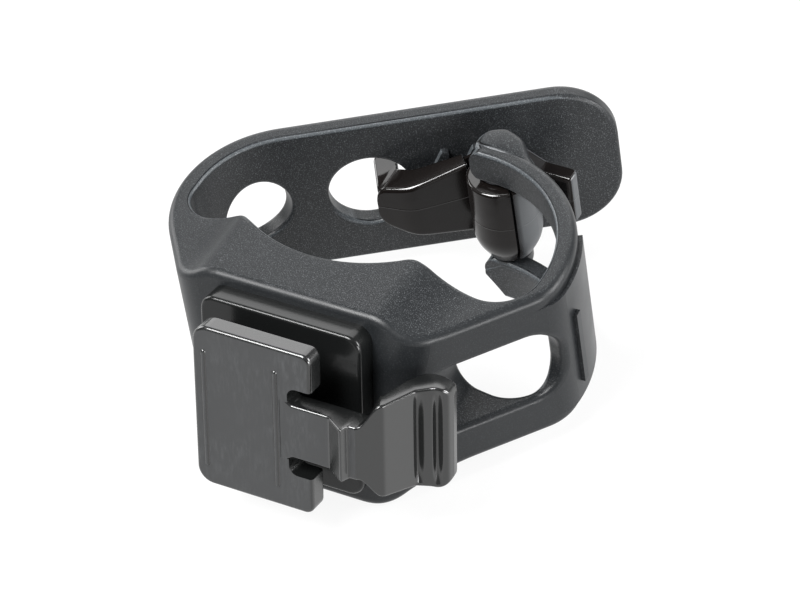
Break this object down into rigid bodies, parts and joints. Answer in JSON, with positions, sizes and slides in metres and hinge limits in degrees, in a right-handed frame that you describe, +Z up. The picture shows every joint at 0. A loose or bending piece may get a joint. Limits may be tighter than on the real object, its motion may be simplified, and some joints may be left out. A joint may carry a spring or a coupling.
{
  "type": "tail light mount",
  "caption": "Rubber strap mount that closes round a bicycle seat post with a plastic hook clip and carries a slide rail with a sprung release latch for a tail light.",
  "frame": {"origin": "on the seat post's axis at the strap's mid-height", "axes": "+Z up along the seat post, +Y from the light towards the post, +X to the right seen from behind the bicycle"},
  "size_m": [0.0486, 0.0591, 0.0251],
  "materials": {
    "strap": "matt moulded black rubber",
    "rail": "moulded black plastic, lightly scuffed",
    "clip": "glossy moulded black plastic"
  },
  "bodies": {
    "mount_body": {"strap": "strap", "slide_rail": "rail"},
    "release_latch": {"release_latch": "rail"},
    "hook_clip": {"hook_clip": "clip"}
  },
  "joints": [
    {"name": "latch_press", "type": "hinge", "parent": "mount_body", "child": "release_latch", "pos_m": [0.004, -0.03349, 0.00258], "axis": [0, 0.225, 0.9744], "range_deg": [0, 6], "stiffness_Nm_per_rad": 0.57},
    {"name": "clip_swing", "type": "hinge", "parent": "mount_body", "child": "hook_clip", "pos_m": [0.0083, 0.0078, 0], "axis": [0, 0, 1], "range_deg": [0, 26]}
  ]
}
